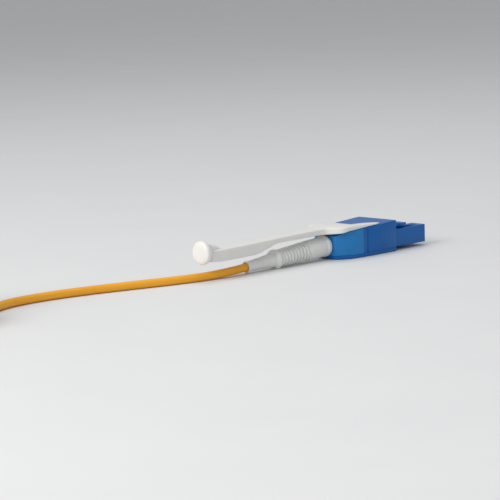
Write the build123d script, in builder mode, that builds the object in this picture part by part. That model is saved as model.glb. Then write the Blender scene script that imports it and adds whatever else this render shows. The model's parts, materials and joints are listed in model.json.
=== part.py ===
"""Duplex fibre optic patch cord: two push-pull-tab uniboot connectors on one round cable.

The near connector points along +Y, its housing lies on the plane z = 0, and the origin is
under the middle of its length. The cable leaves its boot along -Y, sweeps to -X, is wound
into one tied coil and ends in a second, identical connector that lies on the coil.
"""
from build123d import *
from math import cos, degrees, hypot, pi, radians, sin, tan
import os

os.makedirs("parts", exist_ok=True)

# ---- Driving dimensions (mm) ------------------------------------------------------------
connector_length = 78.0        # ferrule tip to the back of the pull knob
port_pitch = 6.25              # distance between the two ferrules
ferrule_r = 0.625
ferrule_shank_r = 0.38          # inside the nose, so that the gauge length ends there
ferrule_proud = 1.8            # ferrule beyond the plug's nose
nose_length = 12.4             # plug nose ahead of the housing
nose_size = 4.5                # square section of the nose
housing_length = 19.9
housing_width = 12.4
housing_rear_rise = 5.9        # height of the housing's back edge
housing_shoulder_rise = 7.0    # height where the top starts to climb to the front
housing_slope = 0.054          # rise per millimetre of the top, towards the front
corner_cut_x = 2.7             # rear corners, across
corner_cut_y = 3.3             # rear corners, along
grip_length = 4.2              # flank facet ahead of each rear corner
grip_depth = 0.45
wall = 0.75
top_wall = 0.6
base_thickness = 0.9
cable_r = 1.0
cable_tilt = 3.6               # degrees that the cable's weight tips the boot down
tab_travel = 2.0
latch_swing = 4.0              # degrees that the latch dips at full pull

ferrule_tip_y = connector_length / 2
nose_front_y = ferrule_tip_y - ferrule_proud
front_y = nose_front_y - nose_length
rear_y = front_y - housing_length
shoulder_y = rear_y + corner_cut_y
knob_back_y = -connector_length / 2
ferrule_z = base_thickness + nose_size / 2
boot_z = 3.5
inner_front_y = front_y - 1.0
inner_rear_y = rear_y + 1.2


def top_of_housing(y):
    """Height of the cover's outside at y, ahead of the shoulder."""
    return housing_shoulder_rise + housing_slope * (y - shoulder_y)


def across(y, x=0.0, z=0.0):
    """Plane square to the connector at y; extruding from it runs to the rear."""
    return Plane(origin=(x, y, z), x_dir=(1, 0, 0), z_dir=(0, -1, 0))


# The crimp post, sleeve, boot and the jacket in it share one axis, tipped slightly down.
tail_pivot = Vector(0, inner_rear_y + 1.2, boot_z)
tail_way = Vector(0, -cos(radians(cable_tilt)), -sin(radians(cable_tilt)))
tail_axis = Axis(tail_pivot, tail_way)
tail_plane = Plane(origin=tail_pivot, x_dir=(1, 0, 0), z_dir=Vector(1, 0, 0).cross(tail_way))
boot_front = tail_pivot.Y - rear_y + 0.2    # along the tail axis
boot_length = 28.2
boot_back = boot_front + boot_length
boot_tip = tail_pivot + tail_way * boot_back


# ---- Plug: nose, latch, ferrule, spring -------------------------------------------------
latch_width = 2.2
channel_width = 2.6
channel_floor = ferrule_z + 1.45
latch_pivot = Vector(0, nose_front_y - 2.2, ferrule_z + nose_size / 2 - 0.32)
latch_root_r = 0.32
plug_bore_r = 1.2
plug_bore_front_y = nose_front_y - 2.8
collar_back_y = inner_front_y - 1.4


def make_plug_body(port_x):
    """Square nose that enters the adapter, its locking collar and the bore for the ferrule."""
    with BuildPart() as plug_body:
        with BuildSketch(across(nose_front_y, port_x, ferrule_z)):
            Rectangle(nose_size, nose_size)
        extrude(amount=nose_front_y - inner_front_y)
        chamfer(plug_body.faces().sort_by(Axis.Y)[-1].edges(), 0.35)
        fillet(plug_body.edges().filter_by(Axis.Y), 0.15)
        with BuildSketch(across(inner_front_y, port_x * 0.93, base_thickness)):
            Rectangle(5.0, 3.4, align=(Align.CENTER, Align.MIN))
        extrude(amount=inner_front_y - collar_back_y)
        # trough under the latch arm, with a round seat at its front for the latch root
        with BuildSketch(across(latch_pivot.Y, port_x, channel_floor)):
            Rectangle(channel_width, 3, align=(Align.CENTER, Align.MIN))
        extrude(amount=latch_pivot.Y, mode=Mode.SUBTRACT)
        with BuildSketch(Plane.YZ.offset(port_x)):
            with Locations((latch_pivot.Y, latch_pivot.Z)):
                Circle(latch_root_r + 0.06)
        extrude(amount=channel_width / 2, both=True, mode=Mode.SUBTRACT)
        with BuildSketch(across(collar_back_y, port_x, ferrule_z)):
            Circle(plug_bore_r)
        extrude(amount=collar_back_y - plug_bore_front_y, mode=Mode.SUBTRACT)
        with BuildSketch(across(nose_front_y, port_x, ferrule_z)):
            Circle(ferrule_r + 0.2)
        extrude(amount=3, mode=Mode.SUBTRACT)
        with BuildSketch(across(nose_front_y, port_x, ferrule_z)):
            Circle(1.35)
        extrude(amount=0.7, mode=Mode.SUBTRACT)
    return plug_body.part


# Top line of the latch arm, front to back, and the thickness under each point.
latch_line = [
    (latch_pivot.Y - 0.05, ferrule_z + nose_size / 2 - 0.01, 0.6),
    (front_y + 1.2, ferrule_z + 3.33, 0.6),
    (front_y - 0.2, ferrule_z + 3.3, 0.55),
    (front_y - 1.2, ferrule_z + 2.8, 0.5),
    (front_y - 2.2, ferrule_z + 2.8, 0.5),
    (front_y - 4.0, ferrule_z + 3.7, 0.55),
    (front_y - 5.0, ferrule_z + 3.7, 0.55),
]
hook_y = front_y + 3.8


def make_latch(port_x):
    """Springy arm with the two hooks that catch in the adapter, and a ramp at its tail."""
    top = [(y, z) for y, z, _ in latch_line]
    under = [(y, z - depth) for y, z, depth in latch_line]
    with BuildPart() as latch:
        with BuildSketch(Plane.YZ.offset(port_x)):
            with BuildLine():
                Polyline(*top, *reversed(under), close=True)
            make_face()
            with Locations((latch_pivot.Y, latch_pivot.Z)):
                Circle(latch_root_r)
        extrude(amount=latch_width / 2, both=True)
        with BuildSketch(across(hook_y + 0.75, port_x, ferrule_z + 2.5)):
            Rectangle(latch_width, 0.95, align=(Align.CENTER, Align.MIN))
        extrude(amount=1.5)
        with BuildSketch(across(hook_y + 0.75, port_x, ferrule_z + 2.88)):
            Rectangle(4.0, 0.57, align=(Align.CENTER, Align.MIN))
        extrude(amount=1.5)
        chamfer(latch.faces().filter_by(Axis.Y).sort_by(Axis.Z)[-2:].edges()
                .filter_by(Axis.X).group_by(Axis.Z)[-1].sort_by(Axis.Y)[-1], 0.4)
    return latch.part


ferrule_back_y = plug_bore_front_y - 2.9
flange_front_y = plug_bore_front_y - 0.05
flange_back_y = flange_front_y - 1.75
flange_tail_y = flange_front_y - 5.75
push_front_y = flange_back_y - 6.3
jacket_front = tail_pivot.Y + 3.0   # along the tail axis, where the cable's jacket starts


def make_ferrule(port_x):
    """Zirconia ferrule; the part outside the nose is the gauge length that mates."""
    with BuildPart() as ferrule:
        with BuildSketch(across(ferrule_tip_y, port_x, ferrule_z)):
            Circle(ferrule_r)
        extrude(amount=ferrule_proud - 0.1)
        chamfer(ferrule.faces().sort_by(Axis.Y)[-1].edges(), 0.2)
        with BuildSketch(across(nose_front_y + 0.1, port_x, ferrule_z)):
            Circle(ferrule_shank_r)
        extrude(amount=nose_front_y + 0.1 - ferrule_back_y)
    return ferrule.part


def make_flange(port_x):
    """Metal holder pressed on the ferrule, which the spring pushes forward."""
    with BuildPart() as flange:
        with BuildSketch(across(flange_front_y, port_x, ferrule_z)):
            Circle(plug_bore_r - 0.06)
        extrude(amount=flange_front_y - flange_back_y)
        with BuildSketch(across(flange_back_y, port_x, ferrule_z)):
            Circle(0.78)
        extrude(amount=flange_back_y - flange_tail_y)
        with BuildSketch(across(flange_front_y, port_x, ferrule_z)):
            Circle(ferrule_shank_r)
        extrude(amount=flange_front_y - ferrule_back_y, mode=Mode.SUBTRACT)
        with BuildSketch(across(ferrule_back_y, port_x, ferrule_z)):
            Circle(0.55)
        extrude(amount=6, mode=Mode.SUBTRACT)
    return flange.part


spring_wire_r = 0.11
spring_r = 0.98
spring_pitch = 0.72


def make_spring(port_x):
    """Coil spring between the ferrule's flange and the spring push."""
    height = flange_back_y - push_front_y - 2 * spring_wire_r - 0.04
    start = (port_x, push_front_y + spring_wire_r + 0.02, ferrule_z)
    with BuildPart() as spring:
        with BuildLine():
            coil = Helix(spring_pitch, height, spring_r, center=start, direction=(0, 1, 0))
        with BuildSketch(Plane(origin=coil @ 0, z_dir=coil % 0)):
            Circle(spring_wire_r)
        sweep(path=coil, is_frenet=True)
    return spring.part


push_back_y = rear_y + 11.0


def make_spring_push(port_x):
    """Tube that closes the plug from behind and backs its spring."""
    with BuildPart() as spring_push:
        with BuildSketch(across(push_front_y, port_x, ferrule_z)):
            Circle(plug_bore_r - 0.02)
        extrude(amount=push_front_y - collar_back_y)
        with BuildSketch(across(collar_back_y, port_x, ferrule_z)):
            Circle(1.33)
        extrude(amount=0.8)
        with BuildSketch(across(collar_back_y - 0.8, port_x, ferrule_z)):
            Circle(1.0)
        extrude(amount=collar_back_y - 0.8 - push_back_y)
        with BuildSketch(across(push_front_y, port_x, ferrule_z)):
            Circle(0.62)
        extrude(amount=push_front_y - push_back_y, mode=Mode.SUBTRACT)
    return spring_push.part


def make_fibre(port_x):
    """Buffered fibre from the ferrule's holder, through the spring push, to the crimp post."""
    side = 0.47 if port_x > 0 else -0.47
    route = [
        (port_x, ferrule_back_y - 1.8, ferrule_z),
        (port_x, push_back_y - 0.6, ferrule_z),
        (side, tail_pivot.Y + 2.4, boot_z),
        (side, tail_pivot.Y + 0.2, boot_z),
    ]
    with BuildPart() as fibre:
        with BuildLine():
            path = FilletPolyline(*route, radius=3.0)
        with BuildSketch(Plane(origin=path @ 0, z_dir=path % 0)):
            Circle(0.45)
        sweep(path=path)
    return fibre.part


# ---- Housing ----------------------------------------------------------------------------
def outline(inset):
    """Corner points of the housing seen from above, moved in by inset."""
    half = housing_width / 2 - inset
    front = front_y if inset == 0 else inner_front_y
    back = rear_y if inset == 0 else inner_rear_y
    return [
        (half, front), (half, shoulder_y + grip_length), (half - grip_depth, shoulder_y),
        (half - corner_cut_x, back), (corner_cut_x - half, back),
        (grip_depth - half, shoulder_y), (-half, shoulder_y + grip_length), (-half, front),
    ]


def make_housing_base():
    """Bottom plate with the ribs that locate the plugs and the crimp post."""
    with BuildPart() as base:
        with BuildSketch(Plane.XY):
            with BuildLine():
                Polyline(*outline(0), close=True)
            make_face()
        extrude(amount=base_thickness)
        chamfer(base.faces().sort_by(Axis.Z)[0].edges(), 0.25)
        with BuildSketch(Plane.XY.offset(base_thickness)):
            with Locations((0, collar_back_y - 0.45)):
                Rectangle(10.4, 0.7)
        extrude(amount=0.65)
        with BuildSketch(Plane.XY.offset(base_thickness)):
            with Locations((-2.35, tail_pivot.Y + 1.85), (2.35, tail_pivot.Y + 1.85)):
                Rectangle(2.3, 0.8)
        extrude(amount=2.0)
    return base.part


window_back_y = shoulder_y + 0.2
window_front_y = window_back_y + 3.8


def make_housing_cover():
    """Walls and climbing top of the housing, open below and at the front for the plugs."""
    ceiling = housing_shoulder_rise - top_wall
    with BuildPart() as hollow:
        with BuildSketch(Plane.XY.offset(base_thickness)):
            with BuildLine():
                Polyline(*outline(wall), close=True)
            make_face()
        extrude(amount=8)
        with BuildSketch(Plane.YZ):
            with BuildLine():
                Polyline(
                    (rear_y, 0), (front_y, 0),
                    (front_y, ceiling + housing_slope * (front_y - shoulder_y)),
                    (shoulder_y, ceiling), (inner_rear_y, housing_rear_rise - top_wall + 0.25),
                    (rear_y, housing_rear_rise - top_wall), close=True)
            make_face()
        extrude(amount=housing_width, both=True, mode=Mode.INTERSECT)
    with BuildPart() as cover:
        with BuildSketch(Plane.XY.offset(base_thickness)):
            with BuildLine():
                Polyline(*outline(0), close=True)
            make_face()
        extrude(amount=8)
        with BuildSketch(Plane.YZ):
            with BuildLine():
                Polyline(
                    (rear_y, 0), (front_y, 0), (front_y, top_of_housing(front_y)),
                    (shoulder_y, housing_shoulder_rise), (rear_y, housing_rear_rise), close=True)
            make_face()
        extrude(amount=housing_width, both=True, mode=Mode.INTERSECT)
        # one shallow groove on each flank, ahead of the grip facet
        for flank in (-1, 1):
            with BuildSketch(Plane.XY.offset(base_thickness)):
                with Locations((flank * housing_width / 2, shoulder_y + grip_length + 1.5)):
                    Rectangle(0.24, 0.5)
            extrude(amount=8, mode=Mode.SUBTRACT)
        add(hollow.part, mode=Mode.SUBTRACT)
        for port_x in (-port_pitch / 2, port_pitch / 2):
            with BuildSketch(across(front_y, port_x, base_thickness)):
                Rectangle(nose_size + 0.04, nose_size + 0.04, align=(Align.CENTER, Align.MIN))
            extrude(amount=1.2, mode=Mode.SUBTRACT)
            with BuildSketch(across(front_y, port_x, ferrule_z)):
                Rectangle(channel_width, 3.75, align=(Align.CENTER, Align.MIN))
            extrude(amount=1.2, mode=Mode.SUBTRACT)
        with BuildSketch(across(inner_rear_y + 0.5, 0, boot_z - 0.12)):
            Circle(1.75)
        extrude(amount=3, mode=Mode.SUBTRACT)
        with BuildSketch(Plane.XY.offset(housing_rear_rise - 0.6)):
            with Locations((0, (window_back_y + window_front_y) / 2)):
                Rectangle(2.4, window_front_y - window_back_y)
        extrude(amount=4, mode=Mode.SUBTRACT)
    return cover.part


# ---- Slider and pull tab ----------------------------------------------------------------
bar_back_y = inner_front_y - 1.0
bar_bottom = ferrule_z + 2.9
post_back_y = window_back_y + tab_travel + 0.2
post_length = 1.4
post_top = 7.5


def make_latch_slider():
    """T-shaped slide under the cover: its bar rides over both latch ramps when pulled."""
    bar_top = bar_bottom + 0.85
    with BuildPart() as slider:
        with BuildSketch(Plane.YZ):
            with BuildLine():
                Polyline(
                    (bar_back_y + 0.8, bar_top), (bar_back_y + 0.8, bar_top - 0.6),
                    (post_back_y - 0.2, 5.65), (post_back_y - 0.2, 6.2), close=True)
            make_face()
        extrude(amount=1.45, both=True)
        with BuildSketch(across(bar_back_y + 0.8, 0, bar_bottom)):
            Rectangle(9.4, bar_top - bar_bottom, align=(Align.CENTER, Align.MIN))
        extrude(amount=0.8)
        with BuildSketch(Plane.XY.offset(5.9)):
            with Locations((0, post_back_y + post_length / 2)):
                Rectangle(1.8, post_length)
        extrude(amount=post_top - 5.9)
    return slider.part


tab_half = 6.1                 # half width of the tab's plate
strap_half = 2.3               # half width of the strap over the boot
knob_r = 2.85
knob_z = boot_z + 3.4
finger_tip_y = shoulder_y + 10.8
tab_gap = 0.08                 # tab above the housing
strap_bottom = boot_z + 2.95


def make_pull_tab():
    """Pull tab: plate on the housing with one guide finger, strap, deep handle and knob."""
    lead_y = shoulder_y + 4.8
    with BuildPart() as pull_tab:
        with BuildSketch(Plane.YZ):
            with BuildLine():
                Polyline(
                    (finger_tip_y, top_of_housing(finger_tip_y) + tab_gap),
                    (finger_tip_y, top_of_housing(finger_tip_y) + 0.4),
                    (lead_y, top_of_housing(lead_y) + 0.55),
                    (rear_y, strap_bottom + 1.75),
                    (rear_y - 18, strap_bottom + 1.2),
                    (knob_back_y + 3.0, knob_z + 0.35),
                    (knob_back_y + 3.0, knob_z - 2.55),
                    (rear_y - 27, knob_z - 2.4),
                    (rear_y - 19, strap_bottom - 0.05),
                    (rear_y, strap_bottom),
                    (shoulder_y, housing_shoulder_rise + tab_gap), close=True)
            make_face()
        extrude(amount=tab_half, both=True)
        with BuildSketch(Plane.XY):
            with BuildLine():
                Polyline(
                    (tab_half, finger_tip_y - 0.8), (5.4, finger_tip_y), (4.6, finger_tip_y),
                    (2.7, lead_y + 1.6), (2.3, lead_y - 1.5), (1.6, lead_y - 1.6),
                    (1.3, lead_y - 0.3), (-5.5, lead_y), (-tab_half, lead_y - 0.6),
                    (-tab_half, shoulder_y - 1.6), (-strap_half, rear_y - 3.6),
                    (-strap_half, knob_back_y), (strap_half, knob_back_y),
                    (strap_half, rear_y - 3.6), (tab_half, shoulder_y - 1.6), close=True)
            make_face()
        extrude(amount=12, mode=Mode.INTERSECT)
        fillet(pull_tab.edges().filter_by(Axis.Z).sort_by(Axis.Y)[:2], 0.6)
        # knob: a shallow dome on a disc, with a cone that runs forward into the handle
        with BuildSketch(Plane(origin=(0, 0, knob_z), x_dir=(1, 0, 0), z_dir=(0, 0, 1))):
            with BuildLine():
                edge = knob_back_y + 0.45
                Polyline((0, knob_back_y), (knob_r * 0.55, knob_back_y + 0.05))
                ThreePointArc(
                    (knob_r * 0.55, knob_back_y + 0.05), (knob_r * 0.9, knob_back_y + 0.2),
                    (knob_r, edge + 0.25))
                Polyline(
                    (knob_r, edge + 0.25), (knob_r, edge + 1.1), (knob_r * 0.62, edge + 2.9),
                    (knob_r * 0.4, edge + 5.4), (0, edge + 5.4), (0, knob_back_y))
            make_face()
        revolve(axis=Axis((0, 0, knob_z), (0, 1, 0)))
        # socket for the slider's post
        with BuildSketch(Plane.XY.offset(post_top - 1)):
            with Locations((0, post_back_y + post_length / 2)):
                Rectangle(1.8, post_length)
        extrude(amount=1, mode=Mode.SUBTRACT)
    return pull_tab.part


# ---- Cable entry: crimp post, sleeve, boot, jacket --------------------------------------
def make_tail_piece(profile, bore):
    """Turned piece on the tail axis. Profile and bore are (distance back, radius) points."""
    with BuildPart() as turned:
        with BuildSketch(tail_plane):
            with BuildLine():
                points = [(radius, back) for back, radius in profile]
                inner = [(radius, back) for back, radius in bore]
                Polyline(*points, *reversed(inner), close=True)
            make_face()
        revolve(axis=tail_axis)
    return turned.part


post_back = boot_front + 7.6
sleeve_front = boot_front + 1.6
sleeve_back = post_back + 4.0


def make_crimp_post():
    """Metal post held in the housing's rear wall; the yarn is crimped round its barrel."""
    return make_tail_piece(
        [(-1.1, 1.85), (1.0, 1.85), (1.0, 1.5), (post_back, 1.5)],
        [(-1.1, 1.02), (post_back, 1.02)])


def make_crimp_sleeve():
    """Stepped sleeve that grips the yarn on the post and the jacket behind it."""
    return make_tail_piece(
        [(sleeve_front, 1.8), (post_back + 0.3, 1.8), (post_back + 0.9, 1.3), (sleeve_back, 1.3)],
        [(sleeve_front, 1.51), (post_back + 0.1, 1.51), (post_back + 0.1, 1.01), (sleeve_back, 1.01)])


rib_count = 10
rib_pitch = 1.0
rib_start = boot_front + 7.2
groove_depth = 0.42


def make_boot():
    """Strain-relief boot: lip, plain front, ribs, collar, slim neck and flared tip."""
    profile = [(boot_front, 2.72), (boot_front + 1.0, 2.72), (boot_front + 1.3, 2.52)]
    for rib in range(rib_count):
        start = rib_start + rib * rib_pitch
        crest = 2.5 - 0.02 * rib
        profile += [(start, crest), (start + 0.15, crest - groove_depth),
                    (start + 0.5, crest - groove_depth), (start + 0.65, crest)]
    ribs_end = rib_start + rib_count * rib_pitch
    profile += [(ribs_end + 0.2, 2.3), (ribs_end + 0.3, 2.55), (ribs_end + 1.2, 2.5),
                (ribs_end + 1.6, 1.85), (boot_back - 1.0, 1.36), (boot_back - 0.3, 1.46),
                (boot_back, 1.46)]
    bore = [(boot_front, 1.82), (post_back + 0.4, 1.82), (post_back + 1.0, 1.32),
            (sleeve_back + 0.2, 1.32), (sleeve_back + 0.4, cable_r + 0.02), (boot_back, cable_r + 0.02)]
    return make_tail_piece(profile, bore)


def make_jacket_end():
    """The cable's jacket inside the boot, from the crimp post to the boot's tip."""
    with BuildPart() as jacket:
        with BuildSketch(Plane(origin=tail_pivot + tail_way * (post_back + 0.15), z_dir=tail_way)):
            Circle(cable_r)
        extrude(amount=boot_back - post_back - 0.15)
    return jacket.part


# ---- Free cable: run, coil, tail --------------------------------------------------------
coil_centre = Vector(-9.5, -116.5)
coil_mid_r = 5 * 2 * cable_r
coil_half_width = 3.1
coil_height = 8.0
tie_width = 5.0
tie_thickness = 0.4
far_place = Location((coil_centre.X - 6.8, coil_centre.Y - 16.0, coil_height))
far_tip = (far_place * Location(boot_tip)).position

run_points = [
    (boot_tip.X, boot_tip.Y, boot_tip.Z),
    (0.0, -32.4, 1.02),
    (-2.2, -43.5, 1.0),
    (-5.8, -54.6, 1.0),
    (-9.2, -66.0, 1.0),
    (-11.4, -77.6, 1.0),
    (-11.2, -88.6, 1.0),
    (-7.8, -96.8, 1.0),
    (-2.4, -105.3, 1.0),
]
tail_points = [
    (1.9, -124.2, 1.5),
    (4.3, -138.5, 1.0),
    (4.7, -153.5, 1.0),
    (4.5, -168.6, 1.0),
    (-5.9, -174.6, 3.6),
    (far_tip.X + 0.1, -168.6, 7.6),
    (far_tip.X, far_tip.Y, far_tip.Z),
]


def make_tube(points, label):
    """Round tube along straight runs joined by arcs as large as the runs allow."""
    corners = [Vector(*p) for p in points]
    radii = []
    for before, here, after in zip(corners, corners[1:], corners[2:]):
        turn = (here - before).get_angle(after - here)
        shorter = min((here - before).length, (after - here).length)
        radii.append(0.45 * shorter / tan(radians(turn / 2)))
    with BuildPart() as tube:
        with BuildLine():
            path = FilletPolyline(*corners, radius=radii)
        with BuildSketch(Plane(origin=path @ 0, z_dir=path % 0)):
            Circle(cable_r)
        sweep(path=path)
    length = path.length
    print(label, "length %.1f" % length, "radii", [round(r, 1) for r in radii],
          "volume ratio %.4f" % (tube.part.volume / (pi * cable_r ** 2 * length)))
    return tube.part


def make_coil():
    """Outer shape of the tied coil, less the strap that passes under it."""
    with BuildPart() as coil:
        with BuildSketch(Plane.XY):
            with Locations((coil_centre.X, coil_centre.Y)):
                Circle(coil_mid_r + coil_half_width)
                Circle(coil_mid_r - coil_half_width, mode=Mode.SUBTRACT)
        extrude(amount=coil_height)
        with BuildSketch(Plane.XY):
            with Locations((coil_centre.X + coil_mid_r, coil_centre.Y)):
                Rectangle(2 * coil_half_width + 3, tie_width)
        extrude(amount=tie_thickness, mode=Mode.SUBTRACT)
    return coil.part


def make_coil_tie():
    """Hook-and-loop strap round one side of the coil."""
    depth = 2 * coil_half_width + 1.1
    height = coil_height + tie_thickness + 0.1
    with BuildPart() as tie:
        with BuildSketch(across(coil_centre.Y, coil_centre.X + coil_mid_r)):
            Rectangle(depth + 2 * tie_thickness, height + tie_thickness,
                      align=(Align.CENTER, Align.MIN))
            with Locations((0, tie_thickness)):
                Rectangle(depth, height - tie_thickness,
                          align=(Align.CENTER, Align.MIN), mode=Mode.SUBTRACT)
        extrude(amount=tie_width / 2, both=True)
    return tie.part


# ---- Make everything --------------------------------------------------------------------
connector_pieces = {
    "housing_base": make_housing_base(),
    "housing_cover": make_housing_cover(),
    "latch_slider": make_latch_slider(),
    "pull_tab": make_pull_tab(),
    "crimp_post": make_crimp_post(),
    "crimp_sleeve": make_crimp_sleeve(),
    "boot": make_boot(),
    "jacket_end": make_jacket_end(),
}
per_port = {
    "plug_body": make_plug_body,
    "latch": make_latch,
    "ferrule": make_ferrule,
    "ferrule_flange": make_flange,
    "spring": make_spring,
    "spring_push": make_spring_push,
    "fibre": make_fibre,
}
for piece_name, make_piece in per_port.items():
    for side_name, side in (("left", -1), ("right", 1)):
        connector_pieces[f"{piece_name}_{side_name}"] = make_piece(side * port_pitch / 2)

free_pieces = {
    "cord_run": make_tube(run_points, "cord_run"),
    "cord_tail": make_tube(tail_points, "cord_tail"),
    "cord_coil": make_coil(),
    "coil_tie": make_coil_tie(),
}

for end_name, place in (("near", Location((0, 0, 0))), ("far", far_place)):
    for piece_name, piece in connector_pieces.items():
        placed = piece.moved(place)
        placed.label = f"{end_name}_{piece_name}"
        export_step(placed, f"parts/{placed.label}.step")
for piece_name, piece in free_pieces.items():
    piece.label = piece_name
    export_step(piece, f"parts/{piece_name}.step")
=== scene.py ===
# Duplex fibre patch cord: pull-tab uniboot plugs on a thin round cable. Lengths in metres unless noted.
import json
import math

import bmesh
import bpy
import numpy as np
from mathutils import Matrix, Vector


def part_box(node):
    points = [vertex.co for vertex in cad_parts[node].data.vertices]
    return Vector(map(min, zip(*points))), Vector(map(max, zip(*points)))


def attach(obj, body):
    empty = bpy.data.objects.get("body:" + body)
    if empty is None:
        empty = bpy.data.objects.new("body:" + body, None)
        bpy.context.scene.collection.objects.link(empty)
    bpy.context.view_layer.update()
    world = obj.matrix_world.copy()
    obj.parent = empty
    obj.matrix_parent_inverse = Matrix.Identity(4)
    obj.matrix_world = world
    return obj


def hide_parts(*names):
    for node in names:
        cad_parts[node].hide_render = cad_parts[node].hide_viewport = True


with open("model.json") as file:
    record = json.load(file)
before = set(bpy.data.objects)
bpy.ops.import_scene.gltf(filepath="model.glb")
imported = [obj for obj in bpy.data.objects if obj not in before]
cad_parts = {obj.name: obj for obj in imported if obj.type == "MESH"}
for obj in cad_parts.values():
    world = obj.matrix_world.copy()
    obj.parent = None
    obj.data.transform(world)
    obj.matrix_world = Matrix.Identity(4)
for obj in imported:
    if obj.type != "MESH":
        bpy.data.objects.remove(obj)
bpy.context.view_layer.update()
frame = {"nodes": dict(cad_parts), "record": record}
mm = 0.001
nearPlace = Matrix.Identity(4)
nearLow = Vector(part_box("near_housing_base")[0])
farLow = Vector(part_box("far_housing_base")[0])
farPlace = Matrix.Translation(farLow - nearLow)     # the far plug is the near one, moved and not turned
print("frame loaded:", len(frame["nodes"]), "nodes")


# a socket that takes + - * and so adds its Math nodes
class Link:
    def __init__(self, look, socket):
        self.look = look
        self.socket = socket

    def maths(self, operation, other, swapped=False):
        pair = (other, self) if swapped else (self, other)
        return self.look.node("ShaderNodeMath", {"operation": operation}, {0: pair[0], 1: pair[1]})

    def __add__(self, other):
        return self.maths("ADD", other)

    def __sub__(self, other):
        return self.maths("SUBTRACT", other)

    def __rsub__(self, other):
        return self.maths("SUBTRACT", other, True)

    def __mul__(self, other):
        return self.maths("MULTIPLY", other)

    __radd__ = __add__
    __rmul__ = __mul__


class Look:
    def __init__(self, name):
        self.material = bpy.data.materials.new(name)
        self.material.use_nodes = True
        self.tree = self.material.node_tree
        self.tree.nodes.clear()
        self.where = self.node("ShaderNodeTexCoord", {}, {}, "Object")

    def node(self, kind, settings, sockets, out=0):
        made = self.tree.nodes.new(kind)
        for key, value in settings.items():
            if key == "stops":
                for stop, (at, colour) in zip(made.color_ramp.elements, value):
                    stop.position = at
                    stop.color = (*colour, 1)
            else:
                setattr(made, key, value)
        for key, value in sockets.items():
            if isinstance(value, Link):
                self.tree.links.new(value.socket, made.inputs[key])
            else:
                made.inputs[key].default_value = value
        return None if out is None else Link(self, made.outputs[out])

    def noise(self, size, detail=3.0, stretch=(1, 1, 1)):
        place = self.node("ShaderNodeMapping", {}, {"Vector": self.where, "Scale": stretch})
        return self.node("ShaderNodeTexNoise", {},
                         {"Vector": place, "Scale": 1 / size, "Detail": detail, "Roughness": 0.55}, "Fac")

    def blend(self, factor, one, two):
        return self.node("ShaderNodeMix", {"data_type": "RGBA"}, {0: factor, 6: one, 7: two}, 2)

    def bump(self, height, depth, strength=1.0, under=None):
        sockets = {"Height": height, "Distance": depth, "Strength": strength}
        if under:
            sockets["Normal"] = under
        return self.node("ShaderNodeBump", {}, sockets, "Normal")

    def close(self, colour, roughness, normal, **fixed):
        sockets = {"Base Color": colour, "Roughness": roughness, "Normal": normal}
        sockets.update({key.replace("_", " "): value for key, value in fixed.items()})
        shader = self.node("ShaderNodeBsdfPrincipled", {}, sockets, "BSDF")
        self.node("ShaderNodeOutputMaterial", {}, {"Surface": shader}, None)
        return self.material


def mouldedPlastic(name, deep, pale, rough, grain=6e-6, soft=0.0, shine=0.5):
    look = Look(name)
    clouds = look.noise(3.5 * mm, 4)              # slow tint drift of the melt
    speck = look.noise(0.12 * mm, 2)              # spark-eroded mould texture
    flow = look.noise(0.9 * mm, 3, (1, 0.25, 1))  # handling marks along the part
    colour = look.blend(clouds * 0.75 + speck * 0.25, (*deep, 1), (*pale, 1))
    texture = look.bump(speck, grain, 0.6)
    marked = look.bump(flow, grain * 1.5, 0.35, texture)
    return look.close(colour, flow * 0.16 + speck * 0.06 + (rough - 0.11), marked,
                      Subsurface_Weight=soft, Subsurface_Radius=(0.0009, 0.0008, 0.0007),
                      Subsurface_Scale=1.0, IOR=1.5, Specular_IOR_Level=shine)


def platedMetal(name, deep, pale, rough, turned):
    look = Look(name)
    lines = look.noise(0.25 * mm, 3, turned)
    spots = look.noise(1.2 * mm, 4)
    colour = look.blend(spots, (*deep, 1), (*pale, 1))
    scored = look.bump(lines, 3e-6, 0.5)
    return look.close(colour, lines * 0.14 + spots * 0.08 + (rough - 0.1), scored, Metallic=1.0)


def cableJacket(name, deep, pale):
    look = Look(name)
    drift = look.noise(9 * mm, 3)
    skin = look.noise(0.16 * mm, 3)
    smear = look.noise(1.4 * mm, 4)
    colour = look.blend(drift * 0.7 + smear * 0.3, (*deep, 1), (*pale, 1))
    orangePeel = look.bump(skin, 5e-6, 0.7)
    return look.close(colour, smear * 0.18 + 0.30, look.bump(smear, 8e-6, 0.4, orangePeel),
                      Subsurface_Weight=0.08, Subsurface_Radius=(0.0012, 0.0007, 0.0002),
                      Subsurface_Scale=1.0)


def wovenStrap(name, deep, pale):
    look = Look(name)
    warp = look.node("ShaderNodeTexWave", {"wave_type": "BANDS", "bands_direction": "X"},
                     {"Vector": look.where, "Scale": 1 / (0.36 * mm) / 6.283, "Distortion": 0.4}, "Fac")
    weft = look.node("ShaderNodeTexWave", {"wave_type": "BANDS", "bands_direction": "DIAGONAL"},
                     {"Vector": look.where, "Scale": 1 / (0.5 * mm) / 6.283, "Distortion": 0.8}, "Fac")
    fuzz = look.noise(0.15 * mm, 4)
    weave = warp * weft + fuzz * 0.3
    colour = look.blend(weave, (*deep, 1), (*pale, 1))
    return look.close(colour, fuzz * 0.1 + 0.82, look.bump(weave, 4e-5, 0.9), Sheen_Weight=0.25)


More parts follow.
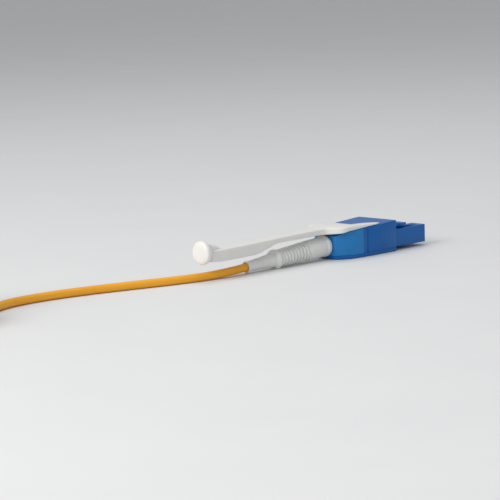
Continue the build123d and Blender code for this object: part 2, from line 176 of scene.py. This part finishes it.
looks = {
    "shell_blue": mouldedPlastic("shellBlue", (0.0005, 0.095, 0.36), (0.003, 0.135, 0.45), 0.34, shine=0.28),
    # painted highlight: a paler blue that stands in for the light the grip's flanks and the rear shoulders
    # catch
    "grip_blue": mouldedPlastic("paintedHighlightBlue", (0.008, 0.17, 0.47), (0.015, 0.21, 0.54), 0.46, 1.6e-5,
                                shine=0.35),
    "nose_grey": mouldedPlastic("noseBlue", (0.001, 0.10, 0.37), (0.004, 0.135, 0.44), 0.36, shine=0.3),
    "tab_white": mouldedPlastic("tabWhite", (0.74, 0.73, 0.70), (0.83, 0.82, 0.79), 0.42, 7e-6, 0.12),
    "boot_white": mouldedPlastic("bootWhite", (0.72, 0.72, 0.70), (0.82, 0.82, 0.80), 0.52, 1e-5, 0.15),
    "zirconia": mouldedPlastic("ferruleCeramic", (0.84, 0.83, 0.80), (0.88, 0.88, 0.86), 0.18, 1e-6, 0.1),
    "nickel": platedMetal("flangeNickel", (0.56, 0.55, 0.52), (0.72, 0.71, 0.68), 0.28, (1, 8, 1)),
    "spring_steel": platedMetal("springSteel", (0.46, 0.46, 0.46), (0.66, 0.66, 0.66), 0.26, (1, 1, 1)),
    "post_metal": platedMetal("postMetal", (0.50, 0.50, 0.50), (0.68, 0.68, 0.67), 0.34, (1, 6, 1)),
    "buffer_yellow": mouldedPlastic("bufferYellow", (0.72, 0.42, 0.02), (0.82, 0.52, 0.05), 0.40),
    "jacket_yellow": cableJacket("jacketYellow", (0.80, 0.33, 0.004), (0.93, 0.45, 0.010)),
    "tie_black": wovenStrap("tieBlack", (0.006, 0.006, 0.007), (0.035, 0.035, 0.04)),
}
print("materials:", len(looks))

slotOf = {part["node"]: part["material_slot"] for part in frame["record"]["subparts"]}
for nodeName, node in frame["nodes"].items():
    node.data.materials.clear()
    node.data.materials.append(looks[slotOf[nodeName]])


viewSettings = {
    "azimuth": 44.3, "elevation": 8.3, "roll": -1.7, "distance": 0.6, "lens": 176.0,
    "aim": (-9.5 * mm, -12.0 * mm, 3.6 * mm),
}
lightSettings = [  # name, place, watts, size, colour
    ("keySoftbox", (-0.04, -0.58, 0.34), 2.9, 0.36, (1.0, 0.985, 0.96)),
    ("sideSoftbox", (0.50, -0.02, 0.22), 0.16, 0.30, (0.95, 0.975, 1.0)),
    ("topSoftbox", (-0.12, 0.10, 0.62), 1.1, 0.50, (1.0, 1.0, 1.0)),
]


def setView(spec):
    data = bpy.data.cameras.new("view")
    data.lens = spec["lens"]
    data.sensor_width = 36
    data.clip_start = 0.01
    camera = bpy.data.objects.new("view", data)
    bpy.context.collection.objects.link(camera)
    azimuth, elevation = math.radians(spec["azimuth"]), math.radians(spec["elevation"])
    ahead = Vector((-math.sin(azimuth) * math.cos(elevation), math.cos(azimuth) * math.cos(elevation),
                    -math.sin(elevation)))
    turn = ahead.to_track_quat("-Z", "Y").to_matrix().to_4x4()
    roll = Matrix.Rotation(math.radians(spec["roll"]), 4, "Z")
    camera.matrix_world = Matrix.Translation(Vector(spec["aim"]) - ahead * spec["distance"]) @ turn @ roll
    bpy.context.scene.camera = camera


airSettings = {"colour": (0.93, 0.95, 0.97, 1), "strength": 0.46}


def setLights(rows, air):
    for name, place, watts, size, colour in rows:
        data = bpy.data.lights.new(name, "AREA")
        data.energy = watts
        data.size = size
        data.color = colour
        lamp = bpy.data.objects.new(name, data)
        bpy.context.collection.objects.link(lamp)
        turn = (-Vector(place)).to_track_quat("-Z", "Y").to_matrix().to_4x4()  # faces the floor's middle
        lamp.matrix_world = Matrix.Translation(place) @ turn
    world = bpy.data.worlds.new("studioAir")
    bpy.context.scene.world = world
    world.use_nodes = True
    world.node_tree.nodes["Background"].inputs["Color"].default_value = air["colour"]
    world.node_tree.nodes["Background"].inputs["Strength"].default_value = air["strength"]
    bpy.context.scene.view_settings.view_transform = "Standard"


def makeFloor(half=3.0):
    mesh = bpy.data.meshes.new("floor")
    corners = [(-half, -half, 0), (half, -half, 0), (half, half, 0), (-half, half, 0)]
    mesh.from_pydata(corners, [], [(0, 1, 2, 3)])
    floor = bpy.data.objects.new("floor", mesh)
    bpy.context.collection.objects.link(floor)
    look = Look("paleFloor")
    mottle = look.noise(30 * mm, 3)
    colour = look.blend(mottle, (0.74, 0.745, 0.75, 1), (0.78, 0.78, 0.78, 1))
    mesh.materials.append(look.close(colour, mottle * 0.05 + 0.6, look.bump(mottle, 1e-5, 0.2)))


setView(viewSettings)
setLights(lightSettings, airSettings)
makeFloor()
print("view, lights, floor")


cordSettings = {
    "radius": 1.0 * mm,
    "run": [(0, -23.398, 1.566), (0, -32.4, 1.02), (-2.2, -43.5, 1), (-5.8, -54.6, 1), (-9.2, -66, 1),
            (-11.4, -77.6, 1), (-11.2, -88.6, 1), (-7.8, -96.8, 1), (-2.4, -105.3, 1)],
    "tail": [(1.9, -124.2, 1.9), (4.3, -138.5, 1), (4.7, -153.5, 1), (4.5, -168.6, 1), (-5.9, -174.6, 3.6),
             (-16.2, -168.6, 7.6), (-16.3, -155.898, 9.566)],
    "coilCentre": (-9.5, -116.5), "coilStart": 30, "pointsPerTurn": 16,
    # where each turn of the wound cable lies: distance from the centre and height
    "lay": [(12, 1), (10, 1), (8, 1), (8, 3), (10, 3), (10, 5),
            (8, 5), (8, 7), (10, 7), (12, 7), (12, 5), (12, 3)],
    "lastTurn": 0.11, "stepOver": 0.24, "strapAt": 0, "strapLift": 0.45,
}


def smooth(t):
    t = min(max(t, 0.0), 1.0)
    return t * t * (3 - 2 * t)


def coilPoints(spec):
    lay, perTurn = spec["lay"], spec["pointsPerTurn"]
    pull = (3 + math.cos(2 * math.pi / perTurn)) / 4      # the spline runs this much inside its points
    turns = len(lay) - 1 + spec["lastTurn"]
    points = []
    for step in range(round(turns * perTurn) + 1):
        turn = step / perTurn
        here = min(int(turn), len(lay) - 1)
        after = min(here + 1, len(lay) - 1)
        shift = smooth((turn - here - 1 + spec["stepOver"]) / spec["stepOver"])
        radius = (lay[here][0] * (1 - shift) + lay[after][0] * shift) / pull
        height = lay[here][1] * (1 - shift) + lay[after][1] * shift
        degrees = spec["coilStart"] - 360 * turn
        fromStrap = (degrees - spec["strapAt"] + 180) % 360 - 180
        height += spec["strapLift"] * math.exp(-(fromStrap / 30) ** 2)
        angle = math.radians(degrees)
        points.append((spec["coilCentre"][0] + radius * math.cos(angle),
                       spec["coilCentre"][1] + radius * math.sin(angle), height))
    return points


def makeCord(spec):
    route = spec["run"] + coilPoints(spec) + spec["tail"]
    data = bpy.data.curves.new("cable", "CURVE")
    data.dimensions = "3D"
    spline = data.splines.new("NURBS")
    spline.points.add(len(route) - 1)
    for point, place in zip(spline.points, route):
        point.co = (*(c * mm for c in place), 1)
    spline.order_u = 3
    spline.use_endpoint_u = True
    spline.resolution_u = 6
    plain = bpy.data.objects.new("cableLine", data)
    bpy.context.collection.objects.link(plain)
    line = bpy.data.meshes.new_from_object(plain)
    places = np.array([v.co[:] for v in line.vertices])
    length = float(np.linalg.norm(np.diff(places, axis=0), axis=1).sum())
    bpy.data.meshes.remove(line)
    plain.name = "cable"
    data.bevel_depth = spec["radius"]
    data.bevel_resolution = 5
    data.use_fill_caps = True
    data.materials.append(looks["jacket_yellow"])
    print("cable length %.3f m" % length)
    return plain, length


cable, cableLength = makeCord(cordSettings)


def newPiece(name, mesh, look, place, sharp=35):
    mesh.transform(place)
    mesh.shade_smooth()
    mesh.set_sharp_from_angle(angle=math.radians(sharp))
    if not mesh.materials:
        mesh.materials.append(look)
    piece = bpy.data.objects.new(name, mesh)
    bpy.context.collection.objects.link(piece)
    return piece


def outward(mesh):
    work = bmesh.new()
    work.from_mesh(mesh)
    bmesh.ops.remove_doubles(work, verts=work.verts, dist=1e-7)
    bmesh.ops.recalc_face_normals(work, faces=work.faces)
    work.to_mesh(mesh)
    work.free()
    return mesh


def applied(piece):
    made = bpy.data.meshes.new_from_object(piece.evaluated_get(bpy.context.evaluated_depsgraph_get()))
    piece.modifiers.clear()
    piece.data = made
    return piece


def roundCorners(points, radius, steps=4):
    out = [points[0]]
    for before, here, after in zip(points, points[1:], points[2:]):
        a, b, c = (Vector(p) for p in (before, here, after))
        reach = min(radius, (a - b).length * 0.48, (c - b).length * 0.48)
        start, end = b + (a - b).normalized() * reach, b + (c - b).normalized() * reach
        for step in range(steps + 1):
            t = step / steps
            out.append(tuple((1 - t) ** 2 * start + 2 * t * (1 - t) * b + t * t * end))
    return out + [points[-1]]


def lathe(name, profile, sides=64):
    # profile is (along, radius) in millimetres, turned about +Z; a radius of 0 closes it
    vertices, faces = [], []
    for along, radius in profile:
        for side in range(sides):
            angle = 2 * math.pi * side / sides
            vertices.append((radius * mm * math.cos(angle), radius * mm * math.sin(angle), along * mm))
    for ring in range(len(profile) - 1):
        for side in range(sides):
            a, b = ring * sides + side, ring * sides + (side + 1) % sides
            faces.append((a, b, b + sides, a + sides))
    mesh = bpy.data.meshes.new(name)
    mesh.from_pydata(vertices, [], faces)
    return outward(mesh)


def through(stations, count):
    # smooth rows through the given ones, never past them
    rows = np.array(stations, float)
    at = np.linspace(rows[0, 0], rows[-1, 0], count)
    out = [at]
    for column in rows.T[1:]:
        slopes = np.diff(column) / np.diff(rows[:, 0])
        bend = np.zeros(len(column))
        for i in range(1, len(column) - 1):
            if slopes[i - 1] * slopes[i] > 0:
                bend[i] = 2 * slopes[i - 1] * slopes[i] / (slopes[i - 1] + slopes[i])
        i = np.clip(np.searchsorted(rows[:, 0], at, side="right") - 1, 0, len(rows) - 2)
        h = np.diff(rows[:, 0])[i]
        t = (at - rows[i, 0]) / h
        out.append((2 * t ** 3 - 3 * t ** 2 + 1) * column[i] + (t ** 3 - 2 * t ** 2 + t) * h * bend[i]
                   + (3 * t ** 2 - 2 * t ** 3) * column[i + 1] + (t ** 3 - t ** 2) * h * bend[i + 1])
    return np.array(out).T


def loft(name, stations, count, corner, endRound=0.5, steps=5):
    # stations are (y, left, right, bottom, top) in millimetres; both ends are rounded
    rows = through(stations, count)
    vertices, faces = [], []
    ringSize = 4 * (steps + 1)
    for y, left, right, bottom, top in rows:
        near = min(y - rows[0, 0], rows[-1, 0] - y)
        tuck = endRound * (1 - math.sqrt(max(0.0, 1 - (1 - min(near / endRound, 1)) ** 2)))
        left, right = left + tuck, right - tuck
        bottom, top = bottom + tuck * 0.5, top - tuck * 0.5
        bend = min(corner, (right - left) * 0.49, (top - bottom) * 0.49)
        for cx, cz, start in ((right - bend, top - bend, 0), (left + bend, top - bend, 90),
                              (left + bend, bottom + bend, 180), (right - bend, bottom + bend, 270)):
            for step in range(steps + 1):
                angle = math.radians(start + 90 * step / steps)
                x, z = cx + bend * math.cos(angle), cz + bend * math.sin(angle)
                vertices.append((x * mm, y * mm, z * mm))
    for ring in range(count - 1):
        for side in range(ringSize):
            a, b = ring * ringSize + side, ring * ringSize + (side + 1) % ringSize
            faces.append((a, b, b + ringSize, a + ringSize))
    faces.append(tuple(range(ringSize)))
    faces.append(tuple(range((count - 1) * ringSize, count * ringSize)))
    mesh = bpy.data.meshes.new(name)
    mesh.from_pydata(vertices, [], faces)
    return outward(mesh)


def united(name, meshes):
    base = bpy.data.objects.new(name, meshes[0])
    bpy.context.collection.objects.link(base)
    for extra in meshes[1:]:
        other = bpy.data.objects.new("extra", extra)
        bpy.context.collection.objects.link(other)
        join = base.modifiers.new("join", "BOOLEAN")
        join.operation = "UNION"
        join.solver = "EXACT"
        join.object = other
        applied(base)
        bpy.data.objects.remove(other)
    mesh = base.data
    bpy.data.objects.remove(base)
    return mesh


tabSettings = {
    "corner": 0.45, "strapRows": 200, "fingerCorner": 0.26, "fingerEnd": 0.6, "fingerRows": 60,
    # y, left edge, right edge, underside, top
    "strap": [(-36.6, -2.1, 2.1, 4.55, 7.30), (-33, -2.25, 2.25, 4.45, 7.35), (-22, -2.3, 2.3, 4.55, 7.58),
              (-17.5, -2.3, 2.3, 5.55, 7.70), (-13.6, -2.3, 2.3, 6.42, 7.82), (0.4, -2.3, 2.3, 6.50, 8.10),
              (2.2, -2.6, 2.6, 6.50, 8.16), (5.6, -5.7, 5.7, 6.68, 8.20), (7.2, -6.1, 6.1, 6.98, 8.24),
              (9.6, -6.1, 6.1, 7.20, 8.22), (11.2, -6.1, 6.0, 7.28, 8.12), (11.7, -6.1, 1.7, 7.30, 8.06),
              (12.9, -5.9, 1.3, 7.35, 7.86)],
    "finger": [(7.4, 2.4, 6.1, 7.10, 8.16), (11.5, 2.5, 6.1, 7.28, 8.08), (14.5, 2.8, 6.1, 7.44, 8.03),
               (17.4, 4.2, 6.1, 7.58, 8.00), (18.9, 5.1, 5.9, 7.66, 7.97)],
    "knobHeight": 6.9, "knobBack": -39.0,
    # distance ahead of the knob's back face, radius
    "knob": [(0, 0), (0.02, 0.9), (0.10, 1.75), (0.26, 2.35), (0.55, 2.75), (0.9, 2.85), (1.45, 2.85),
             (1.75, 2.62), (2.4, 2.15), (3.4, 1.75), (4.6, 1.45), (5.9, 1.2), (5.9, 0)],
}


def makePullTab(name, spec, place):
    strap = loft("strap", spec["strap"], spec["strapRows"], spec["corner"])
    finger = loft("finger", spec["finger"], spec["fingerRows"], spec["fingerCorner"], spec["fingerEnd"])
    knob = lathe("knob", roundCorners(spec["knob"], 0.2, 3), 72)
    knob.transform(Matrix.Translation((0, spec["knobBack"] * mm, spec["knobHeight"] * mm))
                   @ Matrix.Rotation(-math.pi / 2, 4, "X"))
    return newPiece(name, united("tab", [strap, finger, knob]), looks["tab_white"], place, 32)


bootSettings = {
    "tilt": 3.6, "pivot": (7.3, 3.5),         # the axis leaves this point (y, z), tipped down
    # distance back along the axis, radius
    "skin": [(2.6, 1.84), (2.6, 2.70), (3.6, 2.70), (3.9, 2.50), (9.7, 2.46), (9.9, 2.02), (19.9, 1.86),
             (20.1, 2.28), (20.6, 2.50), (21.2, 2.42), (21.6, 1.78), (25.6, 1.50), (29.7, 1.30),
             (30.2, 1.46), (30.8, 1.44), (30.8, 1.02), (24.0, 1.02)],
    "ribCount": 9, "ribPitch": 1.06, "ribStart": 10.9, "ribRadius": 2.06, "ribBar": 0.37, "ribTaper": 0.012,
}


def ribTree():
    tree = bpy.data.node_groups.new("bootRibs", "GeometryNodeTree")
    names = {}
    for name, kind in (("ribCount", "Int"), ("ribPitch", "Float"), ("ribRadius", "Float"),
                       ("ribBar", "Float"), ("ribTaper", "Float"), ("finish", "Material")):
        socket = tree.interface.new_socket(name=name, in_out="INPUT", socket_type="NodeSocket" + kind)
        names[name] = socket.identifier
    tree.interface.new_socket(name="Geometry", in_out="OUTPUT", socket_type="NodeSocketGeometry")

    def add(kind, settings, sockets):
        made = tree.nodes.new(kind)
        for key, value in settings.items():
            setattr(made, key, value)
        for key, value in sockets.items():
            if isinstance(value, bpy.types.NodeSocket):
                tree.links.new(value, made.inputs[key])
            else:
                made.inputs[key].default_value = value
        return made

    given = add("NodeGroupInput", {}, {}).outputs
    offset = add("ShaderNodeCombineXYZ", {}, {"Z": given["ribPitch"]}).outputs[0]
    row = add("GeometryNodeMeshLine", {"mode": "OFFSET"},
              {"Count": given["ribCount"], "Offset": offset}).outputs[0]
    hoop = add("GeometryNodeCurvePrimitiveCircle", {},
               {"Resolution": 64, "Radius": given["ribRadius"]}).outputs[0]
    bar = add("GeometryNodeCurvePrimitiveCircle", {},
              {"Resolution": 14, "Radius": given["ribBar"]}).outputs[0]
    ring = add("GeometryNodeCurveToMesh", {}, {"Curve": hoop, "Profile Curve": bar}).outputs[0]
    number = add("GeometryNodeInputIndex", {}, {}).outputs[0]
    less = add("ShaderNodeMath", {"operation": "MULTIPLY"}, {0: number, 1: given["ribTaper"]}).outputs[0]
    size = add("ShaderNodeMath", {"operation": "SUBTRACT"}, {0: 1.0, 1: less}).outputs[0]
    scale = add("ShaderNodeCombineXYZ", {}, {"X": size, "Y": size, "Z": 1.0}).outputs[0]
    sockets = {"Points": row, "Instance": ring, "Scale": scale}
    placed = add("GeometryNodeInstanceOnPoints", {}, sockets).outputs[0]
    real = add("GeometryNodeRealizeInstances", {}, {"Geometry": placed}).outputs[0]
    even = add("GeometryNodeSetShadeSmooth", {}, {"Geometry": real}).outputs[0]
    done = add("GeometryNodeSetMaterial", {}, {"Geometry": even, "Material": given["finish"]}).outputs[0]
    add("NodeGroupOutput", {}, {"Geometry": done})
    return tree, names


def tailPlace(spec):
    tilt = math.radians(spec["tilt"])
    way = Vector((0, -math.cos(tilt), -math.sin(tilt)))
    turn = way.to_track_quat("Z", "X").to_matrix().to_4x4()
    return Matrix.Translation((0, spec["pivot"][0] * mm, spec["pivot"][1] * mm)) @ turn


def makeBoot(name, spec, place):
    skin = lathe(name, roundCorners(spec["skin"], 0.22), 96)
    return newPiece(name, skin, looks["boot_white"], place @ tailPlace(spec), 40)


def makeRibs(name, spec, place, tree, names):
    holder = bpy.data.objects.new(name, bpy.data.meshes.new(name))
    bpy.context.collection.objects.link(holder)
    rows = holder.modifiers.new("ribs", "NODES")
    rows.node_group = tree
    rows[names["ribCount"]] = spec["ribCount"]
    rows[names["ribTaper"]] = spec["ribTaper"]
    rows[names["finish"]] = looks["boot_white"]
    for key in ("ribPitch", "ribRadius", "ribBar"):
        rows[names[key]] = spec[key] * mm
    applied(holder)
    start = Matrix.Translation((0, 0, spec["ribStart"] * mm))
    mesh = holder.data
    bpy.data.objects.remove(holder)
    return newPiece(name, mesh, looks["boot_white"], place @ tailPlace(spec) @ start, 60)


# moulded parts: copies of the CAD meshes with their edges eased
easedSettings = {  # node ending: edge radius in millimetres
    "housing_cover": 0.13, "housing_base": 0.10, "latch_left": 0.06, "latch_right": 0.06,
    "latch_slider": 0.10,
}


def makeEased(name, nodeName, radius):
    mesh = frame["nodes"][nodeName].data.copy()
    work = bmesh.new()
    work.from_mesh(mesh)
    bmesh.ops.remove_doubles(work, verts=work.verts, dist=2e-7)
    bmesh.ops.dissolve_limit(work, angle_limit=math.radians(0.6), verts=work.verts, edges=work.edges)
    work.to_mesh(mesh)
    work.free()
    piece = bpy.data.objects.new(name, mesh)
    bpy.context.collection.objects.link(piece)
    ease = piece.modifiers.new("ease", "BEVEL")
    ease.width = radius * mm
    ease.segments = 2
    ease.limit_method = "ANGLE"
    ease.angle_limit = math.radians(35)
    ease.use_clamp_overlap = False
    ease.harden_normals = False
    applied(piece)
    piece.data.shade_smooth()
    piece.data.set_sharp_from_angle(angle=math.radians(50))
    return piece


# where the painted highlight goes on the housing cover, in millimetres along and across
paintedHighlightSettings = {"alongFrom": 8.0, "alongTo": 12.5, "halfWidth": 5.4}     # millimetres


# painted highlight: the flanks of the grip and the sloping shoulders behind it are given a paler blue that
# stands in for the light these faces catch; the shoulder faces are picked by facing -Y, towards the key
# light
def paintHighlightFaces(piece, place, spec):
    piece.data.materials.append(looks["grip_blue"])
    back = place.inverted()
    for face in piece.data.polygons:
        centre = back @ face.center
        along = centre.y / mm
        onLitGrip = abs(centre.x) > spec["halfWidth"] * mm and spec["alongFrom"] < along < spec["alongTo"]
        onLitShoulder = along < spec["alongFrom"] and face.normal.y < -0.15 and abs(face.normal.z) < 0.35
        if onLitGrip or onLitShoulder:
            face.material_index = 1


strapSettings = {  # inner and outer are distances from the coil's centre
    "width": 5.0, "thickness": 0.38, "inner": 6.35, "outer": 13.65, "low": 0.02, "high": 8.9,
    "bend": 1.3, "lap": 3.6,
}


def makeStrap(spec):
    half = spec["thickness"] / 2
    near, far = spec["inner"] + half, spec["outer"] - half
    low, high, bend = spec["low"] + half, spec["high"] - half, spec["bend"]
    loop = []
    for cy, cz, start in ((far - bend, high - bend, 0), (near + bend, high - bend, 90),
                          (near + bend, low + bend, 180), (far - bend, low + bend, 270)):
        for step in range(9):
            angle = math.radians(start + 90 * step / 8)
            loop.append((cy + bend * math.cos(angle), cz + bend * math.sin(angle)))
    outside = bend + spec["thickness"] * 1.06             # the free end lies on the loop
    for step in range(9):
        angle = math.radians(90 * step / 8)
        loop.append((far - bend + outside * math.cos(angle), high - bend + outside * math.sin(angle)))
    loop.append((far - bend - spec["lap"], high - bend + outside))
    centre = cordSettings["coilCentre"]
    across = np.linspace(-spec["width"] / 2, spec["width"] / 2, 9)
    vertices = [((centre[0] + x) * mm, (centre[1] + y) * mm, z * mm) for x, z in loop for y in across]
    faces = []
    for row in range(len(loop) - 1):
        for cell in range(len(across) - 1):
            a = row * len(across) + cell
            faces.append((a, a + 1, a + 1 + len(across), a + len(across)))
    mesh = bpy.data.meshes.new("coilStrap")
    mesh.from_pydata(vertices, [], faces)
    strap = newPiece("coilStrap", mesh, looks["tie_black"], nearPlace, 60)
    wall = strap.modifiers.new("wall", "SOLIDIFY")
    wall.thickness = spec["thickness"] * mm
    wall.offset = 0
    applied(strap)
    return strap


def dress(piece, nodeName, body):
    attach(piece, body)
    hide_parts(nodeName)


ribs, ribNames = ribTree()
bodyOf = {node: body for body, nodes in frame["record"]["behaviour"]["bodies"].items() for node in nodes}
for end, place in (("near", nearPlace), ("far", farPlace)):
    made = []
    tab = makePullTab(f"{end}PullTab", tabSettings, place)
    dress(tab, f"{end}_pull_tab", f"{end}_tab")
    boot = makeBoot(f"{end}BootSkin", bootSettings, place)
    dress(boot, f"{end}_boot", "cord_body")
    hoops = makeRibs(f"{end}BootRibs", bootSettings, place, ribs, ribNames)
    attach(hoops, "cord_body")
    made += [tab, boot, hoops]
    for ending, radius in easedSettings.items():
        nodeName = f"{end}_{ending}"
        words = ending.split("_")
        piece = makeEased(end + "".join(w.capitalize() for w in words), nodeName, radius)
        # the housing cover gets the painted-highlight faces in a paler blue
        if ending == "housing_cover":
            paintHighlightFaces(piece, place, paintedHighlightSettings)
        dress(piece, nodeName, bodyOf[nodeName])
        made.append(piece)
    print(end, "connector:", len(made), "pieces")

strap = makeStrap(strapSettings)
dress(strap, "coil_tie", "cord_body")
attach(cable, "cord_body")
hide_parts("cord_run", "cord_tail", "cord_coil")
print("pieces in place")
